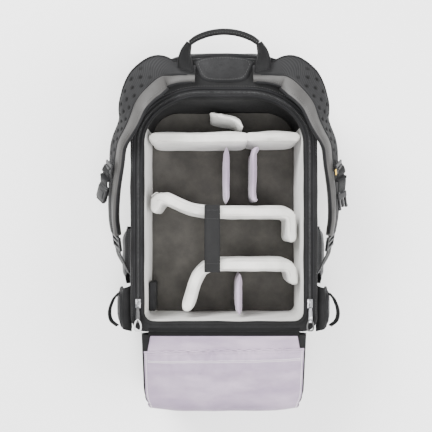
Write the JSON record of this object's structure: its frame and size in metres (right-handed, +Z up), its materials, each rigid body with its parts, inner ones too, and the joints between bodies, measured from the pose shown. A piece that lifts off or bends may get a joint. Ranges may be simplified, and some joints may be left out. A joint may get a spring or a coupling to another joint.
{
  "type": "camera backpack",
  "caption": "Rear-opening padded camera backpack lying on its front, back panel folded open, with padded dividers, shoulder straps, hip wings and carry handle.",
  "frame": {"origin": "on the floor under the front panel, on the bag's middle plane, near the middle of the opening", "axes": "+X across the bag to the right seen from the harness side, +Y along the bag to the carry handle, +Z up out of the front panel towards the harness side"},
  "size_m": [0.4214, 0.6199, 0.2724],
  "materials": {
    "shell_fabric": "woven nylon, matt",
    "strap_fabric": "ribbed air mesh over foam",
    "pocket_mesh": "stretch mesh",
    "webbing": "satin webbing",
    "grey_liner": "brushed loop fabric over foam",
    "floor_liner": "brushed loop fabric in shade",
    "lilac_lining": "fine woven lining",
    "black_plastic": "moulded acetal",
    "zip_coil": "nylon coil",
    "zip_metal": "dark lacquered die casting"
  },
  "bodies": {
    "bag": {"front_panel": "shell_fabric", "side_panel_left": "shell_fabric", "side_panel_right": "shell_fabric", "top_hood": "shell_fabric", "bottom_panel": "shell_fabric", "rim_frame": "shell_fabric", "zip_track": "zip_coil", "yoke_panel": "shell_fabric", "liner_left": "grey_liner", "liner_right": "grey_liner", "liner_hood": "grey_liner", "liner_bottom": "grey_liner", "liner_floor": "floor_liner", "wall_pouch": "floor_liner", "strap_root_left": "shell_fabric", "strap_root_right": "shell_fabric", "lower_webbing_left": "webbing", "lower_webbing_right": "webbing", "side_pocket_left": "pocket_mesh", "side_pocket_right": "pocket_mesh", "lower_divider": "grey_liner"},
    "lid_first": {"lid_first_panel": "lilac_lining", "back_pad_first": "shell_fabric", "lid_pocket_first": "lilac_lining"},
    "lid_second": {"lid_second_panel": "lilac_lining", "back_pad_second": "shell_fabric", "lid_pocket_second": "lilac_lining"},
    "lid_third": {"lid_third_panel": "lilac_lining", "back_pad_third": "shell_fabric"},
    "handle": {"handle_grip": "shell_fabric", "handle_leg_left": "webbing", "handle_leg_right": "webbing"},
    "upper_divider_long": {"upper_divider_left": "grey_liner"},
    "upper_divider_short": {"upper_divider_right": "grey_liner"},
    "top_divider": {"top_divider": "grey_liner"},
    "middle_divider": {"middle_divider": "grey_liner"},
    "retaining_strap": {"retaining_strap": "webbing"},
    "lilac_left": {"lilac_divider_left": "lilac_lining"},
    "lilac_right": {"lilac_divider_right": "lilac_lining"},
    "lilac_lower": {"lilac_divider_lower": "lilac_lining"},
    "strap_left": {"shoulder_pad_left": "strap_fabric", "strap_adjuster_left": "black_plastic"},
    "chest_left": {"chest_clip_left": "black_plastic", "chest_webbing_left": "webbing", "buckle_socket": "black_plastic"},
    "zip_left": {"zip_slider_left": "zip_metal"},
    "pull_left": {"zip_pull_left": "webbing"},
    "hip_left": {"hip_wing_left": "shell_fabric", "hip_webbing_left": "webbing"},
    "strap_right": {"shoulder_pad_right": "strap_fabric", "strap_adjuster_right": "black_plastic"},
    "chest_right": {"chest_clip_right": "black_plastic", "chest_webbing_right": "webbing", "buckle_prong": "black_plastic"},
    "zip_right": {"zip_slider_right": "zip_metal"},
    "pull_right": {"zip_pull_right": "webbing"},
    "hip_right": {"hip_wing_right": "shell_fabric", "hip_webbing_right": "webbing"}
  },
  "joints": [
    {"name": "lid_hinge", "type": "hinge", "parent": "bag", "child": "lid_first", "pos_m": [0, -0.165, 0.23], "axis": [-1, 0, 0], "range_deg": [0, 200]},
    {"name": "lid_bend_first", "type": "hinge", "parent": "lid_first", "child": "lid_second", "pos_m": [0, -0.28155, 0.17013], "axis": [-1, 0, 0], "range_deg": [0, 70]},
    {"name": "lid_bend_second", "type": "hinge", "parent": "lid_second", "child": "lid_third", "pos_m": [0, -0.28155, 0.01713], "axis": [-1, 0, 0], "range_deg": [0, 90]},
    {"name": "handle_swing", "type": "hinge", "parent": "bag", "child": "handle", "pos_m": [0, 0.25, 0.248], "axis": [1, 0, 0], "range_deg": [0, 95]},
    {"name": "upper_divider_long_lift", "type": "slide", "parent": "bag", "child": "upper_divider_long", "axis": [0, 0, -1], "range_m": [-0.17, 0]},
    {"name": "upper_divider_short_lift", "type": "slide", "parent": "bag", "child": "upper_divider_short", "axis": [0, 0, -1], "range_m": [-0.17, 0]},
    {"name": "top_divider_lift", "type": "slide", "parent": "bag", "child": "top_divider", "axis": [0, 0, -1], "range_m": [-0.17, 0]},
    {"name": "middle_divider_lift", "type": "slide", "parent": "bag", "child": "middle_divider", "axis": [0, 0, -1], "range_m": [-0.17, 0]},
    {"name": "lilac_left_lift", "type": "slide", "parent": "bag", "child": "lilac_left", "axis": [0, 0, -1], "range_m": [-0.17, 0]},
    {"name": "lilac_right_lift", "type": "slide", "parent": "bag", "child": "lilac_right", "axis": [0, 0, -1], "range_m": [-0.17, 0]},
    {"name": "lilac_lower_lift", "type": "slide", "parent": "bag", "child": "lilac_lower", "axis": [0, 0, -1], "range_m": [-0.17, 0]},
    {"name": "retaining_strap_swing", "type": "hinge", "parent": "middle_divider", "child": "retaining_strap", "pos_m": [-0.019, 0.039, 0.1922], "axis": [1, 0, 0], "range_deg": [-120, 0]},
    {"name": "strap_swing_left", "type": "hinge", "parent": "bag", "child": "strap_left", "pos_m": [-0.079, 0.246, 0.247], "axis": [0, 1, 0], "range_deg": [0, 30]},
    {"name": "chest_slide_left", "type": "slide", "parent": "strap_left", "child": "chest_left", "axis": [0.1544, 0.8907, 0.4275], "range_m": [-0.02, 0.02]},
    {"name": "zip_slide_left", "type": "slide", "parent": "bag", "child": "zip_left", "axis": [0, 1, 0], "range_m": [0, 0.24]},
    {"name": "pull_swing_left", "type": "hinge", "parent": "zip_left", "child": "pull_left", "pos_m": [-0.137, -0.1262, 0.2389], "axis": [-1, 0, 0], "range_deg": [0, 150]},
    {"name": "hip_swing_left", "type": "hinge", "parent": "bag", "child": "hip_left", "pos_m": [-0.1585, -0.131, 0.2135], "axis": [0, 1, 0], "range_deg": [0, 120]},
    {"name": "strap_swing_right", "type": "hinge", "parent": "bag", "child": "strap_right", "pos_m": [0.079, 0.246, 0.247], "axis": [0, -1, 0], "range_deg": [0, 30]},
    {"name": "chest_slide_right", "type": "slide", "parent": "strap_right", "child": "chest_right", "axis": [-0.1544, 0.8907, 0.4275], "range_m": [-0.02, 0.02]},
    {"name": "zip_slide_right", "type": "slide", "parent": "bag", "child": "zip_right", "axis": [0, 1, 0], "range_m": [0, 0.24]},
    {"name": "pull_swing_right", "type": "hinge", "parent": "zip_right", "child": "pull_right", "pos_m": [0.137, -0.1262, 0.2389], "axis": [-1, 0, 0], "range_deg": [0, 150]},
    {"name": "hip_swing_right", "type": "hinge", "parent": "bag", "child": "hip_right", "pos_m": [0.1585, -0.131, 0.2135], "axis": [0, -1, 0], "range_deg": [0, 120]}
  ],
  "couplings": [
    {"joint": "lid_bend_first", "follows": "lid_hinge", "ratio": 0.35},
    {"joint": "lid_bend_second", "follows": "lid_hinge", "ratio": 0.45}
  ]
}
